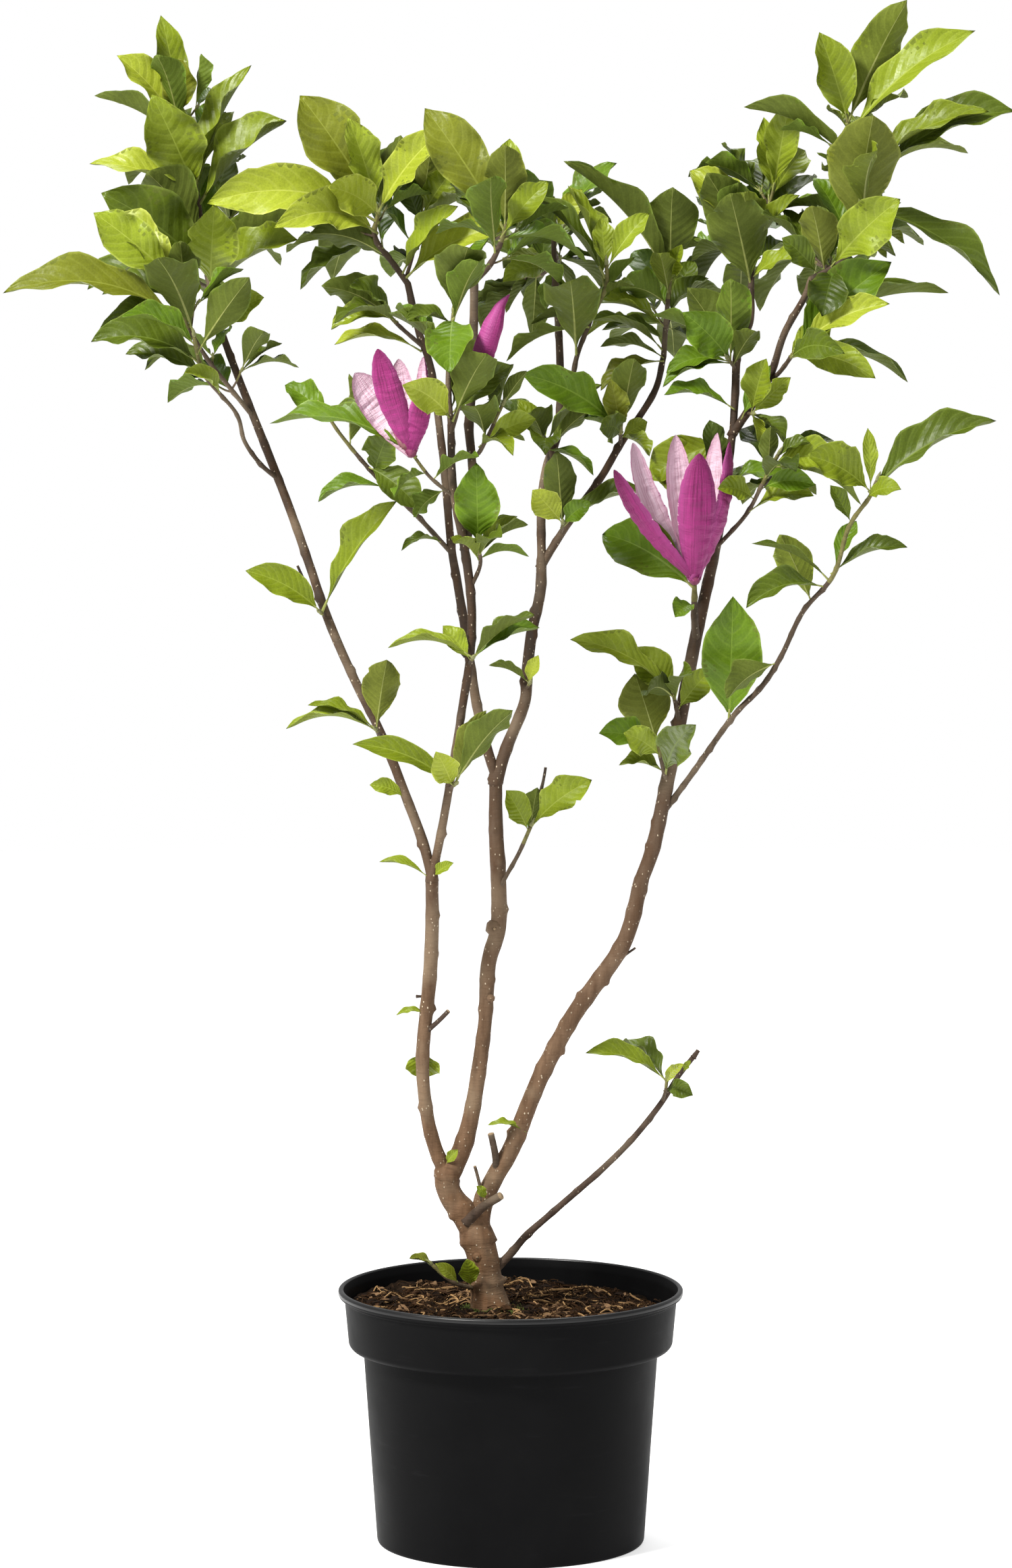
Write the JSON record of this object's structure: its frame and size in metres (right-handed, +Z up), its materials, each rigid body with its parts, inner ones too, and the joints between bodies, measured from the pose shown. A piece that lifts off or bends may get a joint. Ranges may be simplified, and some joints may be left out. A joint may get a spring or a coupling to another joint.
{
  "type": "potted magnolia shrub",
  "caption": "Lily-flowered magnolia shrub in a round black nursery pot: short forked trunk, long bare boughs, a wide crown of large leaves and tall pink blooms.",
  "frame": {"origin": "centre of the pot's flat underside", "axes": "+Z up, +X to the viewer's right in the usual front view, +Y away from the viewer"},
  "size_m": [0.8021, 0.3902, 1.2455],
  "materials": {
    "black_plastic": "matte, a little scuffed",
    "soil_brown": "loose peat and bark",
    "bark": "smooth bark with pale dots",
    "leaf_green": "satin leaf",
    "petal_magenta": "matte petal"
  },
  "bodies": {
    "root": {"pot": "black_plastic", "soil": "soil_brown", "trunk": "bark", "fork_left": "bark", "bough_left_lower": "bark", "bough_left_upper": "bark", "bough_left_inner": "bark", "bough_centre": "bark", "bough_middle": "bark", "bough_middle_left": "bark", "bough_middle_right": "bark", "bough_back": "bark", "bough_centre_right": "bark", "bough_right_lower": "bark", "bough_right_upper": "bark", "bough_right_inner": "bark", "bough_right_outer": "bark", "branch_low": "bark", "foliage_left_top": "leaf_green", "foliage_left_front": "leaf_green", "foliage_left_low": "leaf_green", "foliage_centre_left": "leaf_green", "foliage_left_mid": "leaf_green", "foliage_centre_front": "leaf_green", "foliage_centre": "leaf_green", "foliage_centre_low": "leaf_green", "foliage_inner_low": "leaf_green", "foliage_left_inner": "leaf_green", "foliage_left_tuft": "leaf_green", "foliage_left_pair": "leaf_green", "foliage_inner_tuft": "leaf_green", "foliage_inner_lower": "leaf_green", "foliage_middle_low": "leaf_green", "foliage_middle_right": "leaf_green", "foliage_middle_upper": "leaf_green", "foliage_back_low": "leaf_green", "foliage_centre_right_low": "leaf_green", "foliage_centre_right": "leaf_green", "foliage_centre_mid": "leaf_green", "foliage_back": "leaf_green", "foliage_right_inner": "leaf_green", "foliage_right_inner_low": "leaf_green", "foliage_right_top": "leaf_green", "foliage_right": "leaf_green", "foliage_right_fork": "leaf_green", "foliage_right_mid": "leaf_green", "foliage_right_front": "leaf_green", "foliage_right_tuft": "leaf_green", "foliage_right_lower": "leaf_green", "foliage_right_behind": "leaf_green", "foliage_low": "leaf_green", "foliage_base_sprout": "leaf_green", "bloom_right": "petal_magenta", "bloom_left": "petal_magenta", "bloom_bud": "petal_magenta"}
  },
  "joints": []
}
